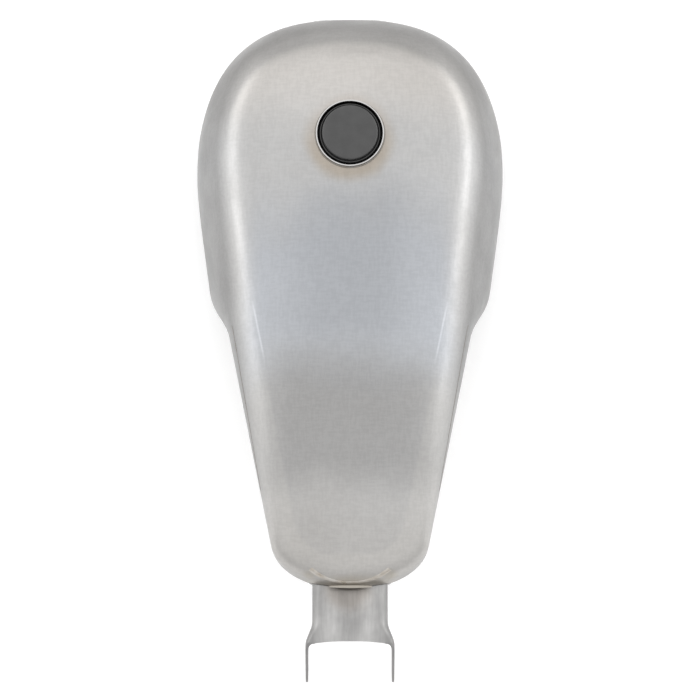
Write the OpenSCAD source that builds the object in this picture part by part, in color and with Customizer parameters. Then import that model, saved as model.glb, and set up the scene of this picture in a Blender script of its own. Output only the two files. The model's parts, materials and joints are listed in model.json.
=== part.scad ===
// Stretched one-piece motorcycle fuel tank with a pop-up filler cap.
// +Y points to the nose, +Z up, and the two lobes stand on Z = 0.

/* [Tank body] */
// Length of the welded body from nose to tail
body_l = 577; // [540:1:640]
// Width across the lobes
body_w = 314; // [290:1:340]
// Height from the lobes' bottoms to the ridge
body_h = 206; // [196:1:230]
// Sheet thickness of the body
wall = 1.6; // [1.2:0.1:2.4]

/* [Nose and tail] */
// Length of the rounded nose in plan
nose_l = 150; // [120:1:170]
// Squareness of the nose curve
nose_power = 2.45; // [2:0.1:3]
// Rise of the underside at the nose
nose_rise = 46; // [40:1:60]
// Drop of the ridge from its peak to the nose shoulder
nose_drop = 20; // [10:1:30]
// Width of the body where the tail corners begin
tail_w = 155; // [148:1:190]
// Length of the rounded tail end in plan
tail_l = 42; // [30:1:60]
// Squareness of the tail curve
tail_power = 2.3; // [2:0.1:3.5]
// Widening of the tail toward the front, per side and unit of length
tail_taper = 0.205; // [0.18:0.005:0.23]
// Height of the tail's underside
tail_base = 94; // [80:1:105]
// Drop of the ridge from its peak to the tail
tail_drop = 46; // [30:1:50]

/* [Lobes] */
// Distance from the nose to the rear end of the lobes
lobe_l = 270; // [250:1:300]
// Length over which the lobes run out
lobe_run = 58; // [45:1:80]
// Narrowing of the lobes toward the rear, per side and unit of length
lobe_taper = 0.148; // [0.1:0.002:0.2]
// Height of the rounded lower edge on the lobes
lobe_roll = 50; // [40:1:60]
// Height of the rounded lower edge at the tail
tail_roll = 20; // [14:1:24]

/* [Shoulders] */
// Width between the shoulder corners at the widest place
shoulder_w = 240; // [220:1:250]
// Width between the shoulder corners at the tail
shoulder_tail_w = 146; // [136:1:148]
// Setback of the shoulder corner behind the nose
shoulder_nose = 26; // [20:1:40]
// Setback of the shoulder corner ahead of the tail
shoulder_tail = 12; // [8:1:16]
// Size of the shoulder round
shoulder_r = 34; // [24:1:38]
// Drop of the crown from the ridge to the shoulder corner
crown_drop = 12; // [6:1:18]

/* [Frame tunnel] */
// Height of the tunnel's roof
tunnel_h = 124; // [112:1:128]
// Corner radius of the tunnel's roof
tunnel_r = 16; // [8:1:20]

/* [Rear bracket] */
// Length of the bracket behind the tail
bracket_l = 90; // [80:1:120]
// Width of the bracket at the tail
bracket_w = 74; // [70:1:84]
// Outward flare of each ear
ear_flare = 6.5; // [4:0.5:10]
// Plate thickness of the bracket
bracket_t = 3; // [2:0.5:4]
// Length of the ears behind the bracket's web
ear_l = 40; // [34:1:48]
// Height of the bracket's side flanges
flange_h = 44; // [38:1:48]
// Width of the groove along the bracket's web
groove_w = 34; // [26:1:36]
// Depth of the groove along the bracket's web
groove_d = 6; // [4:1:7]
// Diameter of the bolt holes in the ears
ear_hole_d = 8.5; // [8:0.5:10.5]

/* [Front mount] */
// Distance from the nose to the front bolt
front_bolt_in = 44; // [38:1:50]
// Height of the front bolt
front_bolt_z = 14; // [13:1:16]
// Diameter of the front bolt holes
front_hole_d = 10.5; // [8.5:0.5:10.5]
// Plate thickness of the front tabs
tab_t = 4; // [3:0.5:5]

/* [Filler and cap] */
// Distance from the nose to the middle of the filler
filler_in = 142; // [135:1:160]
// Outer diameter of the filler neck
neck_d = 67; // [64:1:72]
// Depth of the filler neck
neck_l = 28; // [26:1:34]
// Height of the neck's rim above the ridge
neck_up = 2.5; // [1.5:0.5:4]
// Wall of the neck's rim
rim_t = 1.8; // [1.4:0.1:2.4]
// Width of the gasket's seat inside the neck
seat_w = 6.4; // [5:0.2:8]
// Width of the dark gap between the neck's rim and the cap
rim_gap = 2.2; // [1:0.1:3]
// Width of the cap's flange that shows around the knob
flange_show = 2.3; // [1:0.1:4]
// Wall of the cap's screwed shank
shank_t = 4; // [3.5:0.5:5]
// Travel of the knob when it pops up
knob_travel = 10; // [6:1:10]

/* [Fittings] */
// Bore of the fuel valve's bung
bung_d = 22; // [18:1:24]
// Outer diameter of the crossover nipples
nipple_d = 8; // [6:0.5:9]
// Length of the crossover nipples inside the tunnel
nipple_l = 16; // [12:1:20]

/* [Fits] */
// Gap between welded pieces before welding
weld_gap = 0.1; // [0.05:0.05:0.2]
// Gap between the cap's moving pieces
cap_gap = 0.3; // [0.25:0.05:0.4]
// Gap between the bracket and the tunnel around it
bracket_gap = 0.3; // [0.1:0.1:0.5]

/* [Hidden] */
$fn = 96;
far = 600;

steel = [0.72, 0.72, 0.70];
black = [0.08, 0.08, 0.09];

// Places along the body
nose_y = (body_l + bracket_l) / 2;
tail_y = nose_y - body_l;
nose_c = nose_y - nose_l;
tail_c = tail_y + tail_l;
peak_y = nose_c;
lobe_end = nose_y - lobe_l;

// Bracket and tunnel
ear_w = bracket_w + 2 * ear_flare;
tunnel_half = bracket_w / 2 + bracket_gap + wall;

// Steps of the body's mesh
nose_steps = 12;
lobe_steps = 5;
run_steps = 8;
back_steps = 7;
side_steps = lobe_steps + run_steps + back_steps;
tail_steps = 7;
stations = nose_steps + side_steps + tail_steps;

// ---------- helpers ----------
function mix(a, b, t) = a + (b - a) * t;
function clamp01(t) = min(1, max(0, t));
function smooth(a, b, v) = let (t = clamp01((v - a) / (b - a))) t * t * (3 - 2 * t);
function soft_ramp(d, r) = d <= 0 ? 0 : sqrt(d * d + r * r) - r;
function bezier(a, b, c, t) = a * (1 - t) * (1 - t) + b * 2 * t * (1 - t) + c * t * t;
function flip_x(p) = [-p.x, p.y, p.z];

// ---------- plan and side curves of the body ----------
// 1 along the lobes and 0 behind them
function lobe(y) = smooth(lobe_end - lobe_run, lobe_end, y);
function lobe_half(y) = body_w / 2 - lobe_taper * soft_ramp(nose_c - y, 30);
function tail_half(y) = tail_w / 2 + tail_taper * (y - tail_c);
function wide_half(y) = mix(tail_half(y), lobe_half(y), lobe(y));
function shoulder_half(y) = let (
    slope = (shoulder_w - shoulder_tail_w) / 2 / (nose_c - tail_c))
    shoulder_w / 2 - slope * soft_ramp(nose_c - y, 30);

function bottom(y) = tail_base * (1 - lobe(y))
    + nose_rise * smooth(nose_c + 44, nose_y, y);
function roll_h(y) = mix(tail_roll, lobe_roll, lobe(y));
function roll_in(y) = mix(9, 30, lobe(y));
function ridge(y) = y > peak_y
    ? body_h - nose_drop * pow((y - peak_y) / (nose_l - shoulder_nose), 2)
    : body_h - tail_drop * pow((peak_y - y) / (peak_y - tail_y), 1.45);

// Places of the stations along the sides, closest where the lobes run out
function side_y(j) = j <= lobe_steps ? mix(nose_c, lobe_end, j / lobe_steps)
    : j <= lobe_steps + run_steps ? lobe_end - lobe_run * (j - lobe_steps) / run_steps
    : mix(lobe_end - lobe_run, tail_c, (j - lobe_steps - run_steps) / back_steps);

// Plan point of station i on a ring: kind 0 is the wide ring, 1 the shoulder ring
function ring_half(kind, y) = kind == 0 ? wide_half(y) : shoulder_half(y);
function ring(kind, i, inset) = let (
    nose_len = nose_l - (kind == 0 ? 0 : shoulder_nose) - inset,
    tail_len = tail_l - (kind == 0 ? 0 : shoulder_tail) - inset,
    j = i - nose_steps, k = j - side_steps)
    i <= nose_steps
        ? let (a = 90 * i / nose_steps,
               y = nose_c + nose_len * pow(cos(a), 2 / nose_power))
          [(ring_half(kind, y) - inset) * pow(sin(a), 2 / nose_power), y]
    : k <= 0
        ? let (y = side_y(j)) [ring_half(kind, y) - inset, y]
    : let (b = 90 * k / tail_steps,
           y = tail_c - tail_len * pow(sin(b), 2 / tail_power))
      [(ring_half(kind, y) - inset) * pow(max(0, cos(b)), 2 / tail_power), y];

// ---------- control points of one meridian, t = 0 outside and t = wall inside ----------
function spine_pt(i, t) = let (s = ring(1, i, 0), y = mix(peak_y - 60, s.y, 0.55))
    [0, y, ridge(y) - t];
function corner_pt(i, t) = let (s = ring(1, i, t)) [s.x, s.y, ridge(s.y) - crown_drop - t];
function wide_pt(i, t) = let (w = ring(0, i, t)) [w.x, w.y, bottom(w.y) + roll_h(w.y)];
function edge_pt(i, t) = let (w = ring(0, i, 0), e = ring(0, i, roll_in(w.y)))
    [e.x, e.y, bottom(e.y) + t];
function crown_ctrl(i, t) = let (c = spine_pt(i, t), s = corner_pt(i, t))
    [mix(c.x, s.x, 0.5), mix(c.y, s.y, 0.5), mix(c.z, ridge(mix(c.y, s.y, 0.5)) - t, 0.7)];
function toward(a, b, d) = a + (b - a) * (d / norm(b - a));
function crown_end(i, t) = toward(corner_pt(i, t), crown_ctrl(i, t), shoulder_r);
function flank_ctrl(i, t) = let (w = wide_pt(i, t), s = corner_pt(i, t))
    [w.x, w.y, mix(w.z, s.z, 0.4)];
function flank_pt(i, t) = let (s = corner_pt(i, t), q = flank_ctrl(i, t))
    toward(s, q, min(shoulder_r, 0.7 * norm(q - s)));
function roll_ctrl(i, t) = let (w = wide_pt(i, t), e = edge_pt(i, t)) [w.x, w.y, e.z];

// Crown from the spine to the seam, and side from the seam to the bottom edge
crown_steps = 6;
function crown_row(i, t) = concat(
    [for (n = [1 : 4]) bezier(spine_pt(i, t), crown_ctrl(i, t), crown_end(i, t), n / 4)],
    [for (n = [1, 2]) bezier(crown_end(i, t), corner_pt(i, t), flank_pt(i, t), n / 6)]);
function side_row(i, t) = concat(
    [for (n = [2 : 6]) bezier(crown_end(i, t), corner_pt(i, t), flank_pt(i, t), n / 6)],
    [for (n = [1 : 4]) bezier(flank_pt(i, t), flank_ctrl(i, t), wide_pt(i, t), n / 4)],
    [for (n = [1 : 4]) bezier(wide_pt(i, t), roll_ctrl(i, t), edge_pt(i, t), n / 4)]);

// ---------- sheet solids ----------
function quad(a, b, c, d) = [[a, c, b], [a, d, c]];
function flat1(lists) = [for (l = lists) for (v = l) v];

// Sheet between two matching grids of points
module sheet(outer, inner) {
    rows = len(outer);
    cols = len(outer[0]);
    half = rows * cols;
    function at(s, r, c) = s * half + r * cols + c;
    skin = flat1([for (r = [0 : rows - 2]) for (c = [0 : cols - 2]) concat(
        quad(at(0, r, c), at(0, r + 1, c), at(0, r + 1, c + 1), at(0, r, c + 1)),
        quad(at(1, r, c), at(1, r, c + 1), at(1, r + 1, c + 1), at(1, r + 1, c)))]);
    ends = flat1([for (c = [0 : cols - 2]) concat(
        quad(at(0, 0, c), at(0, 0, c + 1), at(1, 0, c + 1), at(1, 0, c)),
        quad(at(0, rows - 1, c + 1), at(0, rows - 1, c),
             at(1, rows - 1, c), at(1, rows - 1, c + 1)))]);
    sides = flat1([for (r = [0 : rows - 2]) concat(
        quad(at(0, r + 1, 0), at(0, r, 0), at(1, r, 0), at(1, r + 1, 0)),
        quad(at(0, r, cols - 1), at(0, r + 1, cols - 1),
             at(1, r + 1, cols - 1), at(1, r, cols - 1)))]);
    polyhedron(concat(flat1(outer), flat1(inner)), concat(skin, ends, sides), convexity = 10);
}

// Closed crown panel: rings around the spine, outside and inside
module crown_sheet() {
    m = stations;
    n = 2 * m;
    block = (m + 1) + crown_steps * n;
    function loop(s, v) = concat(
        [for (i = [0 : m]) crown_row(i, s * wall)[v]],
        [for (i = [m - 1 : -1 : 1]) flip_x(crown_row(i, s * wall)[v])]);
    function points(s) = concat([for (i = [0 : m]) spine_pt(i, s * wall)],
        flat1([for (v = [0 : crown_steps - 1]) loop(s, v)]));
    function spine(s, i) = s * block + i;
    function rim(s, v, j) = s * block + m + 1 + v * n + j % n;
    function face(s, a, b, c, d) = s == 0 ? quad(a, b, c, d) : quad(a, d, c, b);
    middle = flat1([for (s = [0, 1]) for (i = [0 : m - 1]) concat(
        face(s, spine(s, i), spine(s, i + 1), rim(s, 0, i + 1), rim(s, 0, i)),
        face(s, spine(s, i + 1), spine(s, i), rim(s, 0, n - i), rim(s, 0, n - i - 1)))]);
    bands = flat1([for (s = [0, 1]) for (v = [0 : crown_steps - 2]) for (j = [0 : n - 1])
        face(s, rim(s, v, j), rim(s, v, j + 1), rim(s, v + 1, j + 1), rim(s, v + 1, j))]);
    hem = flat1([for (j = [0 : n - 1]) quad(
        rim(0, crown_steps - 1, j), rim(0, crown_steps - 1, j + 1),
        rim(1, crown_steps - 1, j + 1), rim(1, crown_steps - 1, j))]);
    polyhedron(concat(points(0), points(1)), concat(middle, bands, hem), convexity = 10);
}

// ---------- tunnel outlines ----------
// Section across the tunnel, grown inward by t
module tunnel_section(t) {
    r = tunnel_r - t;
    hull() {
        for (x = [-1, 1]) translate([x * (tunnel_half - t - r), tunnel_h - t - r]) circle(r);
        translate([-tunnel_half + t, -far / 2]) square([2 * (tunnel_half - t), 1]);
    }
}

module along_y(len = 2 * far) rotate([90, 0, 0]) translate([0, 0, -len / 2])
    linear_extrude(len) children();
module along_x(len) rotate([90, 0, 90]) translate([0, 0, -len / 2])
    linear_extrude(len) children();

// Outline of the body in side view, drawn in Y and Z, that trims the tunnel
module side_outline() {
    polygon(concat(
        [for (p = side_row(0, 0)) [p.y, p.z]],
        [for (i = [0 : stations]) let (e = edge_pt(i, 0)) [e.y, e.z]],
        [for (n = [len(side_row(0, 0)) - 1 : -1 : 0])
            let (p = side_row(stations, 0)[n]) [p.y, p.z]]));
}

// ---------- body pieces ----------
filler_y = nose_y - filler_in;
filler_z = ridge(filler_y);

module top_panel() {
    color(steel) difference() {
        crown_sheet();
        translate([0, filler_y, filler_z - neck_l]) cylinder(d = neck_d + 2 * weld_gap, h = 2 * neck_l);
    }
}

module side_shell() {
    difference() {
        sheet([for (i = [0 : stations]) side_row(i, 0)],
              [for (i = [0 : stations]) side_row(i, wall)]);
        along_y() tunnel_section(0);
    }
}
module right_side_shell() color(steel) side_shell();
module left_side_shell() color(steel) mirror([1, 0, 0]) side_shell();

// Bottom pan between the tunnel and the lower edge of a side shell
pan_start = tunnel_half + 2;
function edge_cross(a, b) = mix(a, b, (pan_start - a.x) / (b.x - a.x));
function pan_edge() = let (e = [for (i = [0 : stations]) edge_pt(i, 0)]) concat(
    [for (i = [0 : stations - 1]) if (e[i].x < pan_start && e[i + 1].x >= pan_start)
        edge_cross(e[i], e[i + 1])],
    [for (p = e) if (p.x > pan_start + 1) p],
    [for (i = [0 : stations - 1]) if (e[i].x >= pan_start && e[i + 1].x < pan_start)
        edge_cross(e[i], e[i + 1])]);
function pan_rows(t) = [for (e = pan_edge())
    [for (n = [3 : -1 : 0]) [mix(tunnel_half, e.x, n / 3), e.y, e.z + t]]];
module bottom_pan() sheet(pan_rows(0), pan_rows(wall));

bung_x = 96;
bung_y = lobe_end + 36;
bung_wall = 4;
bung_h = 14;
module right_bottom_pan() color(steel) bottom_pan();
module left_bottom_pan() color(steel) difference() {
    mirror([1, 0, 0]) bottom_pan();
    translate([-bung_x, bung_y, -5]) cylinder(d = bung_d + 2 * (bung_wall + weld_gap), h = 10);
}

nipple_y = lobe_end + 20;
nipple_z = 15;
module tunnel() {
    color(steel) difference() {
        intersection() {
            along_y() difference() {
                tunnel_section(0);
                tunnel_section(wall);
            }
            along_x(3 * tunnel_half) side_outline();
        }
        translate([-far / 2, nipple_y, nipple_z]) rotate([0, 90, 0])
            cylinder(d = nipple_d + 2 * weld_gap, h = far);
    }
}

// Slosh plate standing across the tunnel at one place along the body
module baffle(y) {
    low = bottom(y) + 12;
    high = ridge(y) - 26;
    knee = bottom(y) + roll_h(y);
    color(steel) translate([0, y, 0]) difference() {
        along_y(wall) difference() {
            polygon([for (s = [1, -1]) for (p = s > 0
                ? [[wide_half(y) - 40, low], [wide_half(y) - 18, knee], [shoulder_half(y) - 22, high]]
                : [[shoulder_half(y) - 22, high], [wide_half(y) - 18, knee], [wide_half(y) - 40, low]])
                [s * p.x, p.y]]);
            offset(delta = weld_gap) tunnel_section(0);
        }
        for (x = [-1, 1]) translate([x * mix(tunnel_half, wide_half(y), 0.42), 0, mix(low, high, 0.45)])
            rotate([90, 0, 0]) cylinder(d = 30, h = 10, center = true);
    }
}
module front_baffle() baffle(nose_y - 200);
module rear_baffle() baffle(nose_y - 420);

// ---------- fittings ----------
thread_d = neck_d - 2 * (rim_t + seat_w);
seat_depth = 8.5;
module filler_neck() {
    color(steel) translate([0, filler_y, filler_z + neck_up]) rotate_extrude() polygon([
        [neck_d / 2, 0], [neck_d / 2 - rim_t, 0], [neck_d / 2 - rim_t, -seat_depth],
        [thread_d / 2, -seat_depth], [thread_d / 2, -neck_l], [thread_d / 2 + 5, -neck_l],
        [neck_d / 2, -seat_depth - 6]]);
}

module petcock_bung() {
    color(steel) translate([-bung_x, bung_y, 0]) difference() {
        cylinder(d = bung_d + 2 * bung_wall, h = bung_h);
        translate([0, 0, -1]) cylinder(d = bung_d, h = bung_h + 2);
    }
}

module crossover_nipples() {
    color(steel) for (s = [0, 1]) mirror([s, 0, 0])
        translate([tunnel_half - wall - nipple_l, nipple_y, nipple_z]) rotate([0, 90, 0])
            difference() {
                union() {
                    cylinder(d = nipple_d, h = nipple_l + wall + 6);
                    translate([0, 0, nipple_l + wall + weld_gap])
                        cylinder(d = nipple_d + 6, h = 6 - weld_gap);
                }
                translate([0, 0, -1]) cylinder(d = nipple_d - 3, h = far / 4);
            }
}

// ---------- front mount tabs ----------
front_bolt_y = nose_y - front_bolt_in;
tab_r = 12;
tab_top = 70;
module front_tab() {
    translate([tunnel_half - wall - tab_t / 2 - weld_gap, 0, 0]) difference() {
        along_x(tab_t) hull() {
            translate([front_bolt_y, front_bolt_z]) circle(tab_r);
            translate([front_bolt_y - 16, tab_top - 8]) square([32, 8]);
        }
        translate([-tab_t, front_bolt_y, front_bolt_z]) rotate([0, 90, 0])
            cylinder(d = front_hole_d, h = 2 * tab_t);
    }
}
module front_mount_right() color(steel) front_tab();
module front_mount_left() color(steel) mirror([1, 0, 0]) front_tab();

// ---------- rear mount bracket ----------
bracket_top = tunnel_h - wall - bracket_gap;
bracket_end = tail_y - bracket_l;
web_end = bracket_end + ear_l;
flare_y = tail_y - 32;
ear_r = 14;
ear_z = bracket_top - flange_h + 10;
bracket_in = 46;

// Half width of the bracket's outside at a place along it
function bracket_half(y) = mix(ear_w, bracket_w, smooth(web_end - 4, flare_y, y)) / 2;
function bracket_ys() = concat([flare_y],
    [for (n = [1 : 9]) mix(flare_y, web_end - 4, n / 9)], [bracket_end - 1]);

module bracket_plan(t) polygon(concat(
    [for (y = bracket_ys()) [bracket_half(y) - t, y]],
    [for (n = [len(bracket_ys()) - 1 : -1 : 0]) let (y = bracket_ys()[n])
        [-bracket_half(y) + t, y]]));

// Side view of the flanges, drawn in Y and Z
module flange_side() {
    low = bracket_top - flange_h;
    hull() {
        translate([bracket_end + ear_r, ear_z]) circle(ear_r);
        translate([web_end - 2, bracket_top - 12]) square([2, 12]);
        translate([web_end - 2, low]) square([2, 8]);
    }
    translate([web_end - 1, low]) square([tail_y - web_end + 6, flange_h]);
    translate([tail_y, bracket_top - 24]) square([bracket_in, 24]);
}

// Straight channel that fits inside the tunnel, with the tunnel's corner radius
module bracket_channel() intersection() {
    along_y() difference() {
        tunnel_section(wall + bracket_gap);
        tunnel_section(wall + bracket_gap + bracket_t);
    }
    along_x(2 * ear_w) flange_side();
    translate([-ear_w, flare_y, 0]) cube([2 * ear_w, far, far]);
}

// Flared end of the channel, with the ears
module bracket_flare() {
    intersection() {
        linear_extrude(far, center = true) difference() {
            bracket_plan(0);
            bracket_plan(bracket_t);
        }
        along_x(2 * ear_w) flange_side();
    }
    intersection() {
        translate([0, 0, bracket_top - bracket_t]) linear_extrude(bracket_t)
            bracket_plan(bracket_t / 2);
        translate([-ear_w, web_end, 0]) cube([2 * ear_w, far, far]);
    }
}

module whole_bracket() {
    groove_r = (pow(groove_w / 2, 2) + groove_d * groove_d) / (2 * groove_d);
    groove_z = bracket_top - groove_d + groove_r;
    web_l = tail_y + bracket_in - web_end;
    web_mid = web_end + web_l / 2;
    difference() {
        union() {
            bracket_channel();
            bracket_flare();
            // underside of the groove
            translate([0, web_mid, groove_z]) rotate([90, 0, 0]) intersection() {
                cylinder(r = groove_r + bracket_t, h = web_l, center = true);
                translate([-groove_w / 2, -2 * groove_r, -far / 2])
                    cube([groove_w, groove_r + groove_d, far]);
            }
        }
        translate([0, web_mid, groove_z]) rotate([90, 0, 0])
            cylinder(r = groove_r, h = web_l + 2, center = true);
        translate([0, bracket_end + ear_r, ear_z]) rotate([0, 90, 0])
            cylinder(d = ear_hole_d, h = 2 * ear_w, center = true);
    }
}

// The pressed web ends at the foot of its rolled edges, where an ear plate carries on below
roll_foot = bracket_top - (tunnel_r - wall - bracket_gap);
module rear_bracket_web() color(steel) intersection() {
    whole_bracket();
    translate([-far, -far, roll_foot]) cube([2 * far, 2 * far, far]);
}
module ear_plate() intersection() {
    whole_bracket();
    translate([0, -far, roll_foot - weld_gap - far]) cube([far, 2 * far, far]);
}
module rear_bracket_right_ear() color(steel) ear_plate();
module rear_bracket_left_ear() color(steel) mirror([1, 0, 0]) ear_plate();

// ---------- pop-up cap ----------
seat_z = neck_up - seat_depth;
gasket_t = 2;
washer_t = 0.6;
flange_r = neck_d / 2 - rim_t - rim_gap;
flange_t = 3.8;
flange_z = seat_z + gasket_t + washer_t + 3 * cap_gap;
shank_r = thread_d / 2 - cap_gap;
shank_z = neck_up - neck_l + 2;
floor_t = 3;
well_r = shank_r - shank_t;
clip_t = 1.2;
clip_z = flange_z + flange_t - 2.2;
vent_r = 3;
knob_z = flange_z + flange_t + cap_gap;
knob_d = 2 * (flange_r - flange_show);
knob_t = 5;
knob_edge = 2.2;
knob_plate = 2.5;
skirt_r = well_r - 2.5;
skirt_t = 2.5;
collar_z = clip_z - cap_gap - knob_travel;
collar_t = 3;
spring_r = skirt_r - skirt_t - 4;
wire_r = 0.8;
spring_turns = 5;

module at_filler() translate([0, filler_y, filler_z]) children();
module ring_part(r1, r2, z1, z2) at_filler() translate([0, 0, z1]) difference() {
    cylinder(r = r2, h = z2 - z1);
    translate([0, 0, -1]) cylinder(r = r1, h = z2 - z1 + 2);
}

module cap_gasket() color([0.15, 0.15, 0.15])
    ring_part(shank_r + cap_gap, flange_r, seat_z + cap_gap, seat_z + cap_gap + gasket_t);

module slip_washer() color([0.85, 0.85, 0.82])
    ring_part(shank_r + cap_gap, flange_r - 0.5,
              seat_z + 2 * cap_gap + gasket_t, seat_z + 2 * cap_gap + gasket_t + washer_t);

module cap_body() {
    color(black) at_filler() rotate_extrude() polygon([
        [vent_r + weld_gap, shank_z], [shank_r, shank_z], [shank_r, flange_z],
        [flange_r, flange_z], [flange_r, flange_z + flange_t - 0.8],
        [flange_r - 0.8, flange_z + flange_t], [well_r, flange_z + flange_t],
        [well_r, clip_z + clip_t + weld_gap], [well_r + 2, clip_z + clip_t + weld_gap],
        [well_r + 2, clip_z - weld_gap], [well_r, clip_z - weld_gap],
        [well_r, shank_z + floor_t], [vent_r + weld_gap, shank_z + floor_t]]);
}

module vent_valve() {
    color([0.72, 0.56, 0.25]) at_filler() difference() {
        union() {
            translate([0, 0, shank_z - 1.5]) cylinder(r = vent_r + 2, h = 1.5 - weld_gap);
            translate([0, 0, shank_z - 1.5]) cylinder(r = vent_r, h = floor_t + 3);
        }
        translate([0, 0, shank_z - 2]) cylinder(r = 1, h = floor_t + 5);
    }
}

module knob_retainer() color([0.6, 0.6, 0.6])
    ring_part(skirt_r + 0.6, well_r + 1.8, clip_z, clip_z + clip_t);

module knob() {
    color([0.3, 0.3, 0.31]) at_filler() rotate_extrude() {
        polygon(concat(
            [[0, knob_z + knob_t - knob_plate], [skirt_r - skirt_t, knob_z + knob_t - knob_plate],
             [skirt_r - skirt_t, collar_z - collar_t], [well_r - cap_gap, collar_z - collar_t],
             [well_r - cap_gap, collar_z], [skirt_r, collar_z], [skirt_r, knob_z],
             [knob_d / 2 - 0.6, knob_z], [knob_d / 2, knob_z + 0.6]],
            [for (a = [0 : 15 : 90]) [knob_d / 2 - knob_edge + knob_edge * cos(a),
                                      knob_z + knob_t - knob_edge + knob_edge * sin(a)]],
            [[0, knob_z + knob_t]]));
    }
}

// Coil spring as one tube swept along a helix
module knob_spring() {
    low = shank_z + floor_t + wire_r + 0.1;
    high = knob_z + knob_t - knob_plate - wire_r - 0.1;
    sides = 6;
    steps = spring_turns * 20;
    function ring_at(k) = let (a = 360 * spring_turns * k / steps, z = mix(low, high, k / steps))
        [for (s = [0 : sides - 1]) let (b = 360 * s / sides, r = spring_r + wire_r * cos(b))
            [r * cos(a), r * sin(a), z + wire_r * sin(b)]];
    color([0.6, 0.6, 0.6]) at_filler() polyhedron(
        flat1([for (k = [0 : steps]) ring_at(k)]),
        concat(
            flat1([for (k = [0 : steps - 1]) for (s = [0 : sides - 1]) quad(
                k * sides + s, k * sides + (s + 1) % sides,
                (k + 1) * sides + (s + 1) % sides, (k + 1) * sides + s)]),
            [[for (s = [0 : sides - 1]) s],
             [for (s = [sides - 1 : -1 : 0]) steps * sides + s]]));
}

top_panel();
left_side_shell();
right_side_shell();
left_bottom_pan();
right_bottom_pan();
tunnel();
front_baffle();
rear_baffle();
filler_neck();
petcock_bung();
crossover_nipples();
front_mount_left();
front_mount_right();
rear_bracket_web();
rear_bracket_left_ear();
rear_bracket_right_ear();
cap_gasket();
slip_washer();
cap_body();
vent_valve();
knob_retainer();
knob_spring();
knob();
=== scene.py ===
"""Looks of a stretched motorcycle fuel tank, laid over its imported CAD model.

Lengths are in millimetres, except inside materials, lights and floor, where they are in metres.
"""
import json
import math

import bmesh
import bpy
import numpy as np
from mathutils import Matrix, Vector
from mathutils.bvhtree import BVHTree


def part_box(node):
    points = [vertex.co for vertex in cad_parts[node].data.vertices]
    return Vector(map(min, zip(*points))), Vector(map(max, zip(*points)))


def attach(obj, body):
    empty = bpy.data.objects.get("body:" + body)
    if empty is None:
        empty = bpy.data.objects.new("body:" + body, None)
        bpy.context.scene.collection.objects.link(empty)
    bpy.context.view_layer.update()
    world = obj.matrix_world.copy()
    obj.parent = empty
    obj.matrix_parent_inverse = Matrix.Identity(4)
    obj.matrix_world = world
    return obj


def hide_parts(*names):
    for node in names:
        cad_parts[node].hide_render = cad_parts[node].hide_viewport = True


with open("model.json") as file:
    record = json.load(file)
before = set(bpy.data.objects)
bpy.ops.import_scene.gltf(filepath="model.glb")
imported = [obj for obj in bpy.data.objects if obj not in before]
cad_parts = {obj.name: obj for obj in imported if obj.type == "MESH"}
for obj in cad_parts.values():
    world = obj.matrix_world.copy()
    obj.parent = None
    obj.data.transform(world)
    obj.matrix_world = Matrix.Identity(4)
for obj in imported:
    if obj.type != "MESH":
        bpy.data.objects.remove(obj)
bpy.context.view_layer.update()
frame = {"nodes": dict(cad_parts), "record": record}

MM = 0.001


def box_mm(node):
    """Lowest and highest corner of a CAD node, in millimetres."""
    low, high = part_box(node)
    return np.array(low) / MM, np.array(high) / MM


# ---------- sizes read from the frame ----------
TUNNEL_LO, TUNNEL_HI = box_mm("tunnel")
SHELL_HI = box_mm("right_side_shell")[1]
BRACKET = [n for n in frame["nodes"] if n.startswith("rear_") and n != "rear_baffle"]
BRACKET_LO = np.min([box_mm(n)[0] for n in BRACKET], 0)
BRACKET_HI = np.max([box_mm(n)[1] for n in BRACKET], 0)
NECK_LO, NECK_HI = box_mm("filler_neck")
CAP_LO, CAP_HI = box_mm("cap_body")
KNOB_LO, KNOB_HI = box_mm("knob")
NOSE_Y, TAIL_Y = TUNNEL_HI[1], TUNNEL_LO[1]
BODY_W, BODY_H = 2 * SHELL_HI[0], box_mm("top_panel")[1][2]
TUNNEL_HALF, TUNNEL_H = TUNNEL_HI[0], TUNNEL_HI[2]
FILLER = np.array([0.0, (NECK_LO[1] + NECK_HI[1]) / 2, NECK_HI[2]])
NECK_R = (NECK_HI[0] - NECK_LO[0]) / 2
MOUNTS = {m["name"]: m for m in frame["record"]["mounts"]}

# ---------- sizes of the body's curves ----------
WALL = 1.6
NOSE_L, NOSE_POWER, NOSE_RISE, NOSE_DROP = 150, 2.45, 46, 20
TAIL_W, TAIL_L, TAIL_POWER, TAIL_TAPER = 155, 42, 2.3, 0.205
TAIL_BASE, TAIL_DROP = 94, 46
LOBE_L, LOBE_RUN, LOBE_TAPER, LOBE_ROLL, TAIL_ROLL = 270, 58, 0.148, 50, 20
SHOULDER_W, SHOULDER_TAIL_W, SHOULDER_NOSE, SHOULDER_TAIL = 240, 146, 26, 12
SHOULDER_R, CROWN_DROP = 34, 12
TUNNEL_R = 16
RIDGE_POWER = 1.45                  # how the ridge falls behind the highest point
PLAN_BLEND = 30                     # softness of the bend between nose and straight sides
NOSE_RISE_AHEAD = 44                # the bottom starts to rise this far ahead of the widest place
EDGE_IN_TAIL, EDGE_IN_LOBE = 9, 30  # from the widest ring in to the bottom edge
SPINE_BACK, SPINE_SHARE = 60, 0.55  # where the spine's points lie between centre and ring
CROWN_LIFT, FLANK_KNEE, FLANK_REACH = 0.7, 0.4, 0.7
NOSE_C, TAIL_C, LOBE_END = NOSE_Y - NOSE_L, TAIL_Y + TAIL_L, NOSE_Y - LOBE_L
SEAM_AT = 1 / 3                     # share of the shoulder's curve that belongs to the top panel
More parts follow.
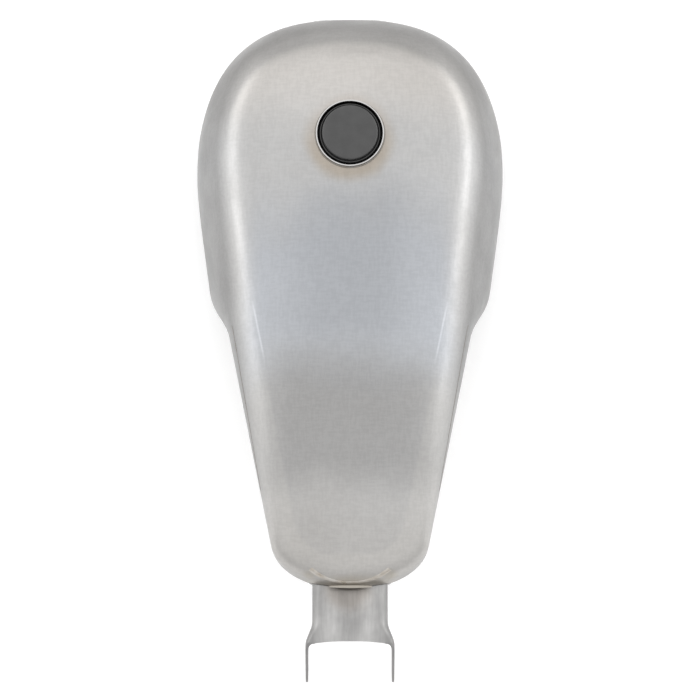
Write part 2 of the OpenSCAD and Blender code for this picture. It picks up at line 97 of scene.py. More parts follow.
CROWN_STEPS, UPPER_STEPS, SHOULDER_STEPS, FLANK_STEPS, ROLL_STEPS = 16, 10, 20, 14, 14


# ---------- curves of the body ----------
def mix(a, b, t):
    return a + (b - a) * t


def smooth(a, b, v):
    """Smooth step from 0 at a to 1 at b."""
    t = np.clip((v - a) / (b - a), 0, 1)
    return t * t * (3 - 2 * t)


def soft_ramp(d, r):
    """Zero up to 0, then a slope of 1 that starts softly."""
    return np.where(d <= 0, 0, np.sqrt(d * d + r * r) - r)


def lobe(y):
    """1 along the two lobes, 0 along the tail."""
    return smooth(LOBE_END - LOBE_RUN, LOBE_END, y)


def wide_half(y):
    lobes = BODY_W / 2 - LOBE_TAPER * soft_ramp(NOSE_C - y, PLAN_BLEND)
    return mix(TAIL_W / 2 + TAIL_TAPER * (y - TAIL_C), lobes, lobe(y))


def shoulder_half(y):
    slope = (SHOULDER_W - SHOULDER_TAIL_W) / 2 / (NOSE_C - TAIL_C)
    return SHOULDER_W / 2 - slope * soft_ramp(NOSE_C - y, PLAN_BLEND)


def bottom(y):
    return TAIL_BASE * (1 - lobe(y)) + NOSE_RISE * smooth(NOSE_C + NOSE_RISE_AHEAD, NOSE_Y, y)


def ridge(y):
    ahead = BODY_H - NOSE_DROP * ((y - NOSE_C) / (NOSE_L - SHOULDER_NOSE)) ** 2
    fall = (np.maximum(NOSE_C - y, 0) / (NOSE_C - TAIL_Y)) ** RIDGE_POWER
    behind = BODY_H - TAIL_DROP * fall
    return np.where(y > NOSE_C, ahead, behind)


def stations(nose, lobes, run, back, tail):
    """Places around one side: (zone, value), the value being an angle or a Y."""
    places = [(0, a) for a in np.linspace(0, math.pi / 2, nose, endpoint=False)]
    places += [(1, y) for y in np.linspace(NOSE_C, LOBE_END, lobes, endpoint=False)]
    places += [(1, y) for y in np.linspace(LOBE_END, LOBE_END - LOBE_RUN, run, endpoint=False)]
    places += [(1, y) for y in np.linspace(LOBE_END - LOBE_RUN, TAIL_C, back, endpoint=False)]
    places += [(2, b) for b in np.linspace(0, math.pi / 2, tail)]
    return np.array(places)


def ring(places, shoulder, inset):
    """Plan points of the wide ring or the shoulder ring."""
    nose_len = NOSE_L - (SHOULDER_NOSE if shoulder else 0) - inset
    tail_len = TAIL_L - (SHOULDER_TAIL if shoulder else 0) - inset
    half = shoulder_half if shoulder else wide_half
    zone, value = places[:, 0], places[:, 1]
    cos, sin = np.clip(np.cos(value), 0, 1), np.clip(np.sin(value), 0, 1)
    y = np.where(zone == 0, NOSE_C + nose_len * cos ** (2 / NOSE_POWER),
                 np.where(zone == 1, value, TAIL_C - tail_len * sin ** (2 / TAIL_POWER)))
    share = np.where(zone == 0, sin ** (2 / NOSE_POWER),
                     np.where(zone == 1, 1.0, cos ** (2 / TAIL_POWER)))
    share[0] = 0
    share[-1] = 0
    return (half(y) - inset) * share, y


def points(x, y, z):
    return np.stack([x, y, np.broadcast_to(z, np.shape(x))], -1)


def toward(a, b, d):
    return a + (b - a) * (d / np.linalg.norm(b - a, axis=-1, keepdims=True))


def bezier(a, b, c, steps):
    """Points of many quadratic curves at once, one row per curve."""
    t = np.asarray(steps)[None, :, None]
    return (a[:, None] * (1 - t) ** 2 + b[:, None] * 2 * t * (1 - t) + c[:, None] * t ** 2)


def body_rows(places, inset):
    """Rows of points over the body: from the spine to the seam, and from there to the edge."""
    sx, sy = ring(places, True, 0)
    spine_y = mix(NOSE_C - SPINE_BACK, sy, SPINE_SHARE)
    spine = points(sx * 0, spine_y, ridge(spine_y) - inset)
    sx, sy = ring(places, True, inset)
    corner = points(sx, sy, ridge(sy) - CROWN_DROP - inset)
    wx, wy = ring(places, False, inset)
    low = bottom(wy)
    wide = points(wx, wy, low + mix(TAIL_ROLL, LOBE_ROLL, lobe(wy)))
    ox, oy = ring(places, False, 0)
    rx, ry = np.empty_like(ox), np.empty_like(oy)
    for n, y in enumerate(oy):
        one_x, one_y = ring(places, False, mix(EDGE_IN_TAIL, EDGE_IN_LOBE, lobe(y)))
        rx[n], ry[n] = one_x[n], one_y[n]
    edge = points(rx, ry, bottom(ry) + inset)
    mid = mix(spine, corner, 0.5)
    ctrl = points(mid[:, 0], mid[:, 1], mix(spine[:, 2], ridge(mid[:, 1]) - inset,
                                           CROWN_LIFT))
    crown_end = toward(corner, ctrl, SHOULDER_R)
    flank_ctrl = points(wx, wy, mix(wide[:, 2], corner[:, 2], FLANK_KNEE))
    reach = FLANK_REACH * np.linalg.norm(flank_ctrl - corner, axis=1)
    reach = np.minimum(SHOULDER_R, reach)
    flank_pt = toward(corner, flank_ctrl, reach[:, None])
    roll_ctrl = points(wx, wy, edge[:, 2])
    top = np.concatenate([
        bezier(spine, ctrl, crown_end, np.linspace(0, 1, CROWN_STEPS, endpoint=False)),
        bezier(crown_end, corner, flank_pt, np.linspace(0, SEAM_AT, UPPER_STEPS))], 1)
    side = np.concatenate([
        bezier(crown_end, corner, flank_pt,
               np.linspace(SEAM_AT, 1, SHOULDER_STEPS, endpoint=False)),
        bezier(flank_pt, flank_ctrl, wide, np.linspace(0, 1, FLANK_STEPS, endpoint=False)),
        bezier(wide, roll_ctrl, edge, np.linspace(0, 1, ROLL_STEPS))], 1)
    return top, side


# ---------- mesh helpers ----------
SHARP = 35         # degrees between faces above which an edge stays sharp
SOFT_SHARP = 40    # the same for pieces whose edges are rounded
TUBE_SHARP = 60    # the same for weld beads
MERGE = 0.004      # points nearer than this become one
TINY = 0.0005      # edges shorter than this go
PAST_BODY = 400    # cutters and rays start this far out, beyond the body's ends
PAST_BRACKET = 80  # beyond the bracket's sides
RAY_Z = 300        # above the body


def grid_faces(rows, cols, first, flip=False):
    faces = []
    for r in range(rows - 1):
        for c in range(cols - 1):
            a = first + r * cols + c
            face = (a, a + 1, a + cols + 1, a + cols)
            faces.append(face[::-1] if flip else face)
    return faces


def shade(mesh, angle):
    mesh.shade_smooth()
    mesh.set_sharp_from_angle(angle=math.radians(angle))


def hoops(count, around, closed=False):
    """Quads between hoops of points in turn, and the two end faces."""
    quads = [(n * around + k, n * around + (k + 1) % around,
              (n + 1) % count * around + (k + 1) % around, (n + 1) % count * around + k)
             for n in range(count if closed else count - 1) for k in range(around)]
    last = (count - 1) * around
    return quads, [tuple(range(around)), tuple(last + k for k in reversed(range(around)))]


def finish_mesh(obj, angle):
    """Merge doubled points, turn normals outward, smooth, with sharp edges kept."""
    mesh = obj.data
    work = bmesh.new()
    work.from_mesh(mesh)
    bmesh.ops.remove_doubles(work, verts=work.verts, dist=MERGE * MM)
    bmesh.ops.dissolve_degenerate(work, dist=TINY * MM, edges=work.edges)
    bmesh.ops.recalc_face_normals(work, faces=work.faces)
    work.to_mesh(mesh)
    work.free()
    shade(mesh, angle)


def new_object(name, verts, faces, angle=SHARP):
    mesh = bpy.data.meshes.new(name)
    mesh.from_pydata([tuple(v) for v in np.asarray(verts, float) * MM], [], faces)
    obj = bpy.data.objects.new(name, mesh)
    bpy.context.scene.collection.objects.link(obj)
    finish_mesh(obj, angle)
    return obj


def sheet(name, outer, inner, both_sides=False):
    """Closed sheet between two grids of points; both_sides adds its mirror image in X."""
    verts, faces = [], []
    rows, cols = outer.shape[:2]
    for sign in ((1, -1) if both_sides else (1,)):
        first = len(verts)
        scale = np.array([sign, 1, 1])
        verts += list(outer.reshape(-1, 3) * scale) + list(inner.reshape(-1, 3) * scale)
        faces += grid_faces(rows, cols, first)
        faces += grid_faces(rows, cols, first + rows * cols, flip=True)
        walls = [[(r, cols - 1) for r in range(rows)]]
        if not both_sides:
            walls += [[(r, 0) for r in range(rows)], [(0, c) for c in range(cols)],
                      [(rows - 1, c) for c in range(cols)]]
        for wall in walls:
            ids = [first + r * cols + c for r, c in wall]
            faces += [(a, b, b + rows * cols, a + rows * cols) for a, b in zip(ids, ids[1:])]
    return new_object(name, verts, faces)


def lathe(name, profile, centre, steps):
    """Solid of revolution about Z; the profile is a closed list of (radius, height)."""
    turn = np.linspace(0, 2 * math.pi, steps, endpoint=False)
    verts = [(r * math.cos(a), r * math.sin(a), z) for a in turn for r, z in profile]
    faces = hoops(steps, len(profile), closed=True)[0]
    return new_object(name, np.array(verts) + np.array(centre), faces)


def rounded(corners, radius, steps=5):
    """Closed outline with each corner rounded; a corner may give its own radius as third value."""
    out = []
    for n, corner in enumerate(corners):
        before = np.array(corners[n - 1][:2], float)
        here = np.array(corner[:2], float)
        after = np.array(corners[(n + 1) % len(corners)][:2], float)
        size = corner[2] if len(corner) > 2 else radius
        if size == 0:
            out.append(tuple(here))
            continue
        to_before, to_after = np.linalg.norm(before - here), np.linalg.norm(after - here)
        size = min(size, 0.45 * to_before, 0.45 * to_after)
        a = here + (before - here) / to_before * size
        c = here + (after - here) / to_after * size
        for t in np.linspace(0, 1, steps):
            out.append(tuple(a * (1 - t) ** 2 + here * 2 * t * (1 - t) + c * t * t))
    return out


def extrusion(name, outline, axis, low, high):
    """Prism of a closed outline along X, Y or Z."""
    outline = [np.array(p, float) for p in outline]
    verts = []
    for end in (low, high):
        for a, b in outline:
            verts.append({"x": (end, a, b), "y": (a, end, b), "z": (a, b, end)}[axis])
    quads, ends = hoops(2, len(outline))
    return new_object(name, verts, ends + quads)


def apply_modifier(obj, angle):
    graph = bpy.context.evaluated_depsgraph_get()
    mesh = bpy.data.meshes.new_from_object(obj.evaluated_get(graph))
    obj.modifiers.clear()
    old = obj.data
    obj.data = mesh
    bpy.data.meshes.remove(old)
    shade(mesh, angle)


def boolean(obj, cutter, operation="DIFFERENCE"):
    """Cuts one object with another, which is then removed."""
    mod = obj.modifiers.new("cut", "BOOLEAN")
    mod.operation, mod.object, mod.solver = operation, cutter, "EXACT"
    apply_modifier(obj, SHARP)
    bpy.data.objects.remove(cutter, do_unlink=True)


def soften(obj, width, segments):
    """Small rounds along the sharp edges, so that they catch the light."""
    mod = obj.modifiers.new("soften", "BEVEL")
    mod.width, mod.segments = width * MM, segments
    mod.limit_method, mod.angle_limit = "ANGLE", math.radians(SOFT_SHARP)
    mod.use_clamp_overlap = True
    apply_modifier(obj, SOFT_SHARP)


def cylinder(name, radius, start, end, steps=96):
    """Cutting cylinder between two points."""
    start, end = Vector(start), Vector(end)
    turn = (end - start).to_track_quat("Z", "Y")
    verts = []
    for base in (start, end):
        for n in range(steps):
            a = 2 * math.pi * n / steps
            verts.append(base + turn @ Vector((radius * math.cos(a), radius * math.sin(a), 0)))
    quads, ends = hoops(2, steps)
    return new_object(name, [tuple(v) for v in verts], ends + quads)


def surface_of(*objects):
    """Search tree over the meshes of some objects, in metres."""
    verts, faces = [], []
    for obj in objects:
        first = len(verts)
        verts += [v.co.copy() for v in obj.data.vertices]
        faces += [tuple(first + i for i in p.vertices) for p in obj.data.polygons]
    return BVHTree.FromPolygons(verts, faces)


def tube(name, path, radii, sides=10, closed=False, normals=None, flat=1.0):
    """Tube swept along a path; flat squeezes it along the normals, or along Z without any."""
    path = [np.array(p, float) for p in path]
    count, verts = len(path), []
    for n, here in enumerate(path):
        ahead = path[(n + 1) % count] if closed or n < count - 1 else here
        back = path[n - 1] if closed or n > 0 else here
        along = (ahead - back) / np.linalg.norm(ahead - back)
        up = np.array([0, 0, 1.0]) if normals is None else np.array(normals[n], float)
        side = np.cross(along, up)
        side /= np.linalg.norm(side)
        up = np.cross(side, along)
        radius = radii[n] if hasattr(radii, "__len__") else radii
        for k in range(sides):
            a = 2 * math.pi * k / sides
            verts.append(here + radius * (math.cos(a) * side + math.sin(a) * flat * up))
    quads, ends = hoops(count, sides, closed)
    return new_object(name, verts, quads if closed else quads + ends, TUBE_SHARP)


def dense(path, step):
    """The same path with its points about one step apart."""
    out = [path[0]]
    for p in path[1:]:
        start = out[-1]
        count = max(1, int(np.linalg.norm(p - start) / step))
        out += [mix(start, p, k / count) for k in range(1, count + 1)]
    return out


def ripple(path, radius, height, rate):
    """Radii of a weld bead along its path."""
    return [radius + height * abs(math.sin(n * rate)) for n in range(len(path))]


def laid_on(skin, places):
    """Points and normals where places in plan meet the upper surface."""
    path, up = [], []
    for x, y in places:
        hit = skin.ray_cast(Vector((x, y, RAY_Z)) * MM, Vector((0, 0, -1)))
        if hit[0] is not None:
            path.append(tuple(np.array(hit[0]) / MM))
            up.append(tuple(hit[1]))
    return path, up


# ---------- node trees ----------
class Nodes:
    """Adds nodes to a tree, one line at a time."""

    def __init__(self, tree):
        self.tree = tree

    def node(self, kind, **settings):
        made = self.tree.nodes.new(kind)
        for key, value in settings.items():
            setattr(made, key, value)
        return made

    def put(self, socket, value):
        if hasattr(value, "is_output"):
            self.tree.links.new(value, socket)
        else:
            socket.default_value = value

    def maths(self, operation, a, b=0.0, c=0.0):
        made = self.node("ShaderNodeMath", operation=operation)
        for socket, value in zip(made.inputs, (a, b, c)):
            self.put(socket, value)
        return made.outputs[0]

    def span(self, value, low, high, out_low=0.0, out_high=1.0):
        """Smooth step between two outputs, as the value goes from low to high."""
        made = self.node("ShaderNodeMapRange", interpolation_type="SMOOTHSTEP")
        for key, v in (("Value", value), ("From Min", low), ("From Max", high),
                       ("To Min", out_low), ("To Max", out_high)):
            self.put(made.inputs[key], v)
        return made.outputs["Result"]


# ---------- camera, floor and light ----------
CAMERA_TILT = 80
CAMERA_AWAY = 2600
TARGET = np.array([0.0, -4.0, 100.0])
FRAME_W = 700          # millimetres across the picture at the target
STRIP_X, STRIP_Y, STRIP_Z, STRIP_AIM_Z = 1.1, 0.95, 0.33, 0.17
STRIP_SIZE, STRIP_POWER = (2.2, 0.30), 4.1
SKY_AHEAD, SKY_BEHIND, SKY_OVERHEAD = 0.84, 0.80, 1.30
FLOOR_HALF, FLOOR_Z = 6.0, -0.0005


def make_camera():
    data = bpy.data.cameras.new("camera")
    camera = bpy.data.objects.new("camera", data)
    bpy.context.scene.collection.objects.link(camera)
    tilt = math.radians(CAMERA_TILT)
    away = np.array([0, -math.cos(tilt), math.sin(tilt)]) * CAMERA_AWAY
    camera.location = Vector((TARGET + away) * MM)
    camera.rotation_euler = (math.pi / 2 - tilt, 0, 0)
    data.sensor_width = 36
    data.lens = data.sensor_width * CAMERA_AWAY / FRAME_W
    data.clip_end = 20
    bpy.context.scene.camera = camera


def make_light(name, place, aim, size, power):
    data = bpy.data.lights.new(name, "AREA")
    data.shape, data.size, data.size_y = "RECTANGLE", size[0], size[1]
    data.energy = power
    lamp = bpy.data.objects.new(name, data)
    bpy.context.scene.collection.objects.link(lamp)
    lamp.location = place
    lamp.rotation_euler = (Vector(aim) - Vector(place)).to_track_quat("-Z", "Y").to_euler()
    lamp.visible_camera = False


def make_sky(scene):
    """Pale world, bright overhead, darker ahead of the tank and a little so behind it."""
    scene.world = bpy.data.worlds.new("studio")
    scene.world.use_nodes = True
    sky = Nodes(scene.world.node_tree)
    parts = sky.node("ShaderNodeSeparateXYZ")
    sky.put(parts.inputs[0], sky.node("ShaderNodeTexCoord").outputs["Generated"])
    low_sky = sky.maths("MULTIPLY", sky.span(parts.outputs["Y"], 0.35, 0.85, 0.98, SKY_AHEAD),
                        sky.span(parts.outputs["Y"], -0.9, -0.4, SKY_BEHIND, 1.0))
    sky.put(sky.tree.nodes["Background"].inputs["Color"],
            sky.span(parts.outputs["Z"], 0.05, 0.58, low_sky, SKY_OVERHEAD))


def make_floor(scene):
    size = FLOOR_HALF
    mesh = bpy.data.meshes.new("floor")
    mesh.from_pydata([(-size, -size, 0), (size, -size, 0), (size, size, 0), (-size, size, 0)],
                     [], [(0, 1, 2, 3)])
    floor = bpy.data.objects.new("floor", mesh)
    scene.collection.objects.link(floor)
    floor.location.z = FLOOR_Z
    material = bpy.data.materials.new("floor")
    material.use_nodes = True
    shader = material.node_tree.nodes["Principled BSDF"]
    shader.inputs["Base Color"].default_value = (0.97, 0.97, 0.97, 1)
    shader.inputs["Roughness"].default_value = 0.9
    shader.inputs["Emission Color"].default_value = (1, 1, 1, 1)
    shader.inputs["Emission Strength"].default_value = 0.12
    mesh.materials.append(material)


def make_studio():
    scene = bpy.context.scene
    scene.view_settings.view_transform = "Standard"
    make_sky(scene)
    for side in (-1, 1):
        make_light("strip_%d" % side, (side * STRIP_X, STRIP_Y, STRIP_Z),
                   (0, STRIP_Y, STRIP_AIM_Z), STRIP_SIZE, STRIP_POWER)
    make_floor(scene)


# ---------- materials ----------
NOSE_TINT, TAIL_TINT = (1.19, 1.15, 1.105, 1), (0.905, 0.89, 0.872, 1)
BLUE_TINT = (0.955, 1.0, 1.075, 1)      # the band behind the filler
NOSE_SHADE_TINT = (0.66, 0.67, 0.68, 1)     # painted shade round the nose
ZONE_TINT = (1.07, 1.065, 1.055, 1)     # ground steel along the shoulders and round the tail
FILLER_HEAT, TAIL_HEAT = (0.86, 0.78, 0.68, 1), (0.88, 0.84, 0.77, 1)
SPOT_HEAT, BRACKET_HEAT = (0.88, 0.85, 0.79, 1), (0.84, 0.77, 0.70, 1)
# painted shadow under the lip of weld on the bracket's web
LIP_SHADOW_TINT = (0.30, 0.28, 0.26, 1)
WELD_DARK, WELD_LIGHT = (0.40, 0.36, 0.31), (0.52, 0.50, 0.47)


class Look(Nodes):
    """A material built step by step."""

    def __init__(self, name, metallic=1.0, roughness=0.35, **sockets):
        self.material = bpy.data.materials.new(name)
        self.material.use_nodes = True
        super().__init__(self.material.node_tree)
        self.shader = self.tree.nodes["Principled BSDF"]
        self.shader.inputs["Metallic"].default_value = metallic
        self.shader.inputs["Roughness"].default_value = roughness
        for key, value in sockets.items():
            self.shader.inputs[key.replace("_", " ")].default_value = value
        self.place = self.node("ShaderNodeTexCoord").outputs["Object"]

    def times(self, a, b):
        return self.maths("MULTIPLY", a, b)

    def plus(self, a, b):
        return self.maths("ADD", a, b)

    def minus(self, a, b):
        return self.maths("SUBTRACT", a, b)

    def wave(self, noise, size):
        """A noise turned into an offset of that size about zero."""
        return self.maths("MULTIPLY_ADD", noise, size, -size / 2)

    def axis(self, name):
        made = self.node("ShaderNodeSeparateXYZ")
        self.put(made.inputs[0], self.place)
        return made.outputs[name]

    def noise(self, scale, detail=3.0, stretch=(1, 1, 1), roughness=0.5, shift=0.0):
        mapping = self.node("ShaderNodeMapping")
        self.put(mapping.inputs["Vector"], self.place)
        mapping.inputs["Scale"].default_value = stretch
        mapping.inputs["Location"].default_value = (shift, shift * 0.7, shift * 1.3)
        made = self.node("ShaderNodeTexNoise")
        self.put(made.inputs["Vector"], mapping.outputs[0])
        made.inputs["Scale"].default_value = scale
        made.inputs["Detail"].default_value = detail
        made.inputs["Roughness"].default_value = roughness
        return made.outputs["Fac"]

    def bump_shape(self, value, low, mid_low, mid_high, high):
        """1 between the two middle values, falling smoothly to 0 outside."""
        return self.times(self.span(value, low, mid_low),
                          self.span(value, mid_high, high, 1.0, 0.0))

    def blend(self, factor, a, b, mode="MIX"):
        made = self.node("ShaderNodeMix", data_type="RGBA", blend_type=mode)
        made.clamp_factor = True
        for socket, value in ((made.inputs[0], factor), (made.inputs[6], a), (made.inputs[7], b)):
            self.put(socket, value)
        return made.outputs[2]

    def tint(self, factor, colour, by):
        return self.blend(factor, colour, by, "MULTIPLY")

    def mottle(self, factor, colour, by):
        """The colour, turned into itself times a tint where the factor is high."""
        return self.blend(factor, colour, self.tint(1.0, colour, by))

    def distance(self, centre, squash=(1, 1, 1)):
        """Distance in metres from a point, with the axes weighted."""
        offset = self.node("ShaderNodeVectorMath", operation="SUBTRACT")
        self.put(offset.inputs[0], self.place)
        offset.inputs[1].default_value = centre
        scaled = self.node("ShaderNodeVectorMath", operation="MULTIPLY")
        self.put(scaled.inputs[0], offset.outputs[0])
        scaled.inputs[1].default_value = squash
        length = self.node("ShaderNodeVectorMath", operation="LENGTH")
        self.put(length.inputs[0], scaled.outputs[0])
        return length.outputs["Value"]

    def bump(self, height, strength, distance):
        made = self.node("ShaderNodeBump")
        self.put(made.inputs["Height"], height)
        made.inputs["Strength"].default_value = strength
        made.inputs["Distance"].default_value = distance
        self.put(self.shader.inputs["Normal"], made.outputs[0])

    def colour(self, value):
        self.put(self.shader.inputs["Base Color"], value)

    def rough(self, value):
        self.put(self.shader.inputs["Roughness"], value)


def grey(value, warm=0.0):
    return (value * (1 + warm), value, value * (1 - warm), 1)


def body_steel():
    """Bare steel sheet, finished by grinding, with the stains, heat tint and fine cross scratches,
    and with painted shade and painted highlight lines.
    """
    look = Look("bare_sheet_steel", roughness=0.36)
    x, y, z = (look.axis(n) for n in "XYZ")
    side = look.maths("ABSOLUTE", x)
    blotch = look.noise(7, 4)
    patch = look.noise(22, 5, shift=3.1)
    colour = look.blend(look.span(blotch, 0.3, 0.7), grey(0.41, 0.012), grey(0.45, 0.006))
    # depth below the ridge line, which falls towards the tail
    back = look.maths("MAXIMUM", look.minus(NOSE_C * MM, y), 0.0)
    fall = look.maths("POWER", look.times(back, 1 / ((NOSE_C - TAIL_Y) * MM)), RIDGE_POWER)
    depth = look.minus(look.maths("MULTIPLY_ADD", fall, -TAIL_DROP * MM, BODY_H * MM), z)
    # warm nose and tail, blue band behind the filler, dull smudge behind that
    along = look.plus(y, look.wave(look.noise(9, 3, shift=8.0), 0.07))
    colour = look.tint(look.times(look.span(along, 0.17, 0.27), 0.9), colour, NOSE_TINT)
    colour = look.tint(look.times(look.span(along, -0.10, -0.21), 0.9), colour, TAIL_TINT)
    # painted shade: the middle of the crown is darkened along part of its length
    middle = look.times(look.bump_shape(along, -0.05, 0.01, 0.10, 0.15),
                        look.span(side, 0.02, 0.085, 1.0, 0.0))
    colour = look.tint(middle, colour, grey(0.87))
    band = look.times(look.bump_shape(along, -0.075, 0.0, 0.075, 0.16),
                      look.span(side, 0.084, 0.112, 1.0, 0.0))
    colour = look.tint(look.times(band, 0.9), colour, BLUE_TINT)
    dull = look.times(look.bump_shape(along, -0.170, -0.115, -0.06, -0.01),
                      look.span(side, 0.05, 0.11, 1.0, 0.0))
    colour = look.tint(dull, colour, grey(0.75))
    # painted shade: darker flanks below the shoulder, and a darker band round the nose
    flank_shade = look.times(look.span(depth, 0.018, 0.046), look.span(y, -0.241, -0.234))
    colour = look.tint(flank_shade, colour, grey(0.61))
    # painted shade: the band round the nose below the crown is darkened, which also dims the
    # highlight there
    nose_shade = look.times(look.span(y, 0.15, 0.25), look.span(depth, 0.016, 0.027))
    colour = look.tint(nose_shade, colour, NOSE_SHADE_TINT)
    # lighter, warmer ground zone along the shoulders and round the tail
    out_by = look.maths("MAXIMUM", look.minus(
        side, look.maths("MULTIPLY_ADD", y, 0.192, 0.0586)), 0.0)
    back_by = look.maths("MAXIMUM", look.minus(-0.183, y), 0.0)
    reach = look.maths("SQRT", look.plus(look.times(out_by, out_by),
                                         look.times(back_by, back_by)))
    reach = look.plus(reach, look.wave(blotch, 0.006))
    zone = look.times(look.span(reach, 0.028, 0.033), look.span(y, -0.02, -0.07))
    colour = look.tint(zone, colour, ZONE_TINT)
    # painted highlight: a thin light line along each shoulder
    off_line = look.maths("ABSOLUTE", look.minus(
        side, look.maths("MULTIPLY_ADD", y, 0.207, 0.0887)))
    highlight_line = look.times(look.span(off_line, 0.0014, 0.0003, 0.0, 0.8),
                       look.bump_shape(y, -0.035, -0.012, 0.015, 0.034))
    colour = look.tint(highlight_line, colour, grey(1.28))
    # fine mottling and streaks across and along the sheet
    across = look.noise(420, 3, stretch=(0.22, 1, 0.5), roughness=0.7)
    lengthways = look.noise(420, 3, stretch=(1, 0.2, 0.6), shift=5.0, roughness=0.7)
    cross = look.plus(look.times(across, 0.5), look.times(lengthways, 0.5))
    colour = look.mottle(look.span(cross, 0.4, 0.6), colour, grey(0.93))
    # heat tint round the filler, stronger behind it, and round the bracket's weld
    centre = tuple(FILLER * MM)
    near = look.distance((centre[0], centre[1] - 0.004, centre[2]), (1, 1, 0))
    halo = look.span(look.plus(near, look.wave(patch, 0.016)), 0.034, 0.050, 1.0, 0.0)
    behind = look.span(look.minus(centre[1], y), -0.03, 0.03, 0.45, 1.0)
    colour = look.tint(look.times(halo, behind), colour, FILLER_HEAT)
    weld = look.distance((0, TAIL_Y * MM, (TAIL_BASE + 22) * MM), (0.45, 1, 0.8))
    weld = look.plus(weld, look.wave(patch, 0.014))
    colour = look.tint(look.bump_shape(weld, 0.006, 0.012, 0.016, 0.026), colour, TAIL_HEAT)
    # small burnt spots where the tail's patch weld starts and stops
    mirrored = look.node("ShaderNodeVectorMath", operation="ABSOLUTE")
    look.put(mirrored.inputs[0], look.place)
    away = look.node("ShaderNodeVectorMath", operation="DISTANCE")
    look.put(away.inputs[0], mirrored.outputs[0])
    away.inputs[1].default_value = (PATCH_HALF * MM, (abs(TAIL_Y) - 14.5) * MM,
                                    (TAIL_BASE + 42) * MM)
    spot = look.span(look.plus(away.outputs["Value"], look.wave(patch, 0.006)),
                     0.003, 0.010, 1.0, 0.0)
    colour = look.tint(look.times(spot, look.span(y, -0.15, -0.16)), colour, SPOT_HEAT)
    look.colour(colour)
    # duller where it is ground, smoother where it was rolled
    look.rough(look.plus(look.span(patch, 0.3, 0.7, 0.33, 0.43), look.wave(cross, 0.10)))
    fine = look.noise(1500, 2, stretch=(0.12, 1, 0.5), shift=2.0)
    fine_long = look.noise(1500, 2, stretch=(1, 0.1, 0.5), shift=7.0)
    height = look.plus(look.plus(fine, fine_long),
                       look.times(look.noise(30, 3, shift=4.0), 1.5))
    look.bump(height, 0.10, 0.0004)
    return look.material


def plain_steel(name, tone, roughness, warm=0.0, stretch=(1, 0.1, 1), heat=None, highlight_offset=None):
    """Bare steel with rolling marks and dark stains.

    heat is the middle and the reach of a weld's heat tint and of a painted shadow under the weld's
    lip, and the last argument is how far to each side of the middle a painted highlight line runs,
    with painted shade on the sides beyond.
    """
    look = Look(name, roughness=roughness)
    patch = look.noise(40, 5, shift=1.7)
    streak = look.noise(420, 2, stretch=stretch)
    colour = look.blend(look.span(patch, 0.3, 0.7), grey(tone * 0.86, warm),
                        grey(tone * 1.12, warm))
    colour = look.mottle(look.span(streak, 0.35, 0.65), colour, grey(0.93))
    if highlight_offset:
        side = look.maths("ABSOLUTE", look.axis("X"))
        # painted shade towards the sides, then painted highlight lines on each side of the middle
        colour = look.tint(look.span(side, highlight_offset * 1.83, highlight_offset * 2.06), colour, grey(0.80))
        off = look.maths("ABSOLUTE", look.minus(side, highlight_offset))
        colour = look.tint(look.span(off, highlight_offset * 0.75, 0.0, 0.0, 0.8), colour, grey(1.35))
    if heat:
        place, reach = heat
        far = look.plus(look.distance(place), look.wave(patch, 0.02))
        colour = look.tint(look.span(far, reach * 0.5, reach, 0.6, 0.0), colour, BRACKET_HEAT)
        # painted shadow: a dark streak across the web just behind the weld, under its lip
        lip_shadow = look.distance((place[0], place[1] + 0.0005, place[2]), (0.2, 1, 0))
        colour = look.tint(look.span(lip_shadow, 0.0016, 0.0040, 0.8, 0.0), colour, LIP_SHADOW_TINT)
    look.colour(colour)
    rough = look.span(patch, 0.3, 0.7, roughness - 0.06, roughness + 0.08)
    look.rough(look.plus(rough, look.wave(streak, 0.12)))
    look.bump(look.plus(streak, look.noise(900, 2, shift=6.0)), 0.12, 0.0003)
    return look.material


def turned_steel(name, tone, shade_below=None):
    """Turned steel with fine rings about the filler's axis, with painted shade, near-black, inside
    the bore below one height.
    """
    look = Look(name, roughness=0.25)
    centre = tuple(FILLER * MM)
    rings = look.node("ShaderNodeTexWave", wave_type="RINGS", rings_direction="Z")
    shifted = look.node("ShaderNodeVectorMath", operation="SUBTRACT")
    look.put(shifted.inputs[0], look.place)
    shifted.inputs[1].default_value = centre
    look.put(rings.inputs["Vector"], shifted.outputs[0])
    rings.inputs["Scale"].default_value = 900
    rings.inputs["Distortion"].default_value = 0.4
    patch = look.noise(60, 4)
    colour = look.blend(look.span(patch, 0.3, 0.7), grey(tone * 0.9, 0.02), grey(tone, 0.01))
    rough = look.span(patch, 0.3, 0.7, 0.2, 0.32)
    if shade_below:
        # painted shade: the bore below the rim goes near-black and rougher
        inside = look.times(look.span(look.axis("Z"), shade_below, shade_below - 0.0008),
                            look.span(look.distance(centre, (1, 1, 0)),
                                      (NECK_R - 0.9) * MM, (NECK_R - 1.2) * MM))
        colour = look.blend(inside, colour, grey(0.02))
        rough = look.maths("MULTIPLY_ADD", inside, 0.35, rough)
    look.colour(colour)
    look.rough(rough)
    look.bump(rings.outputs["Fac"], 0.08, 0.0002)
    return look.material


def weld_metal(name, tone):
    """Weld bead, part ground and tinted by the heat."""
    look = Look(name, roughness=0.34)
    patch = look.noise(120, 4)
    look.colour(look.blend(look.span(patch, 0.3, 0.7),
                           tuple(c * tone for c in WELD_DARK) + (1,),
                           tuple(c * tone for c in WELD_LIGHT) + (1,)))
    look.rough(look.span(patch, 0.3, 0.7, 0.26, 0.46))
    look.bump(look.noise(700, 3, shift=1.0), 0.25, 0.0004)
    return look.material


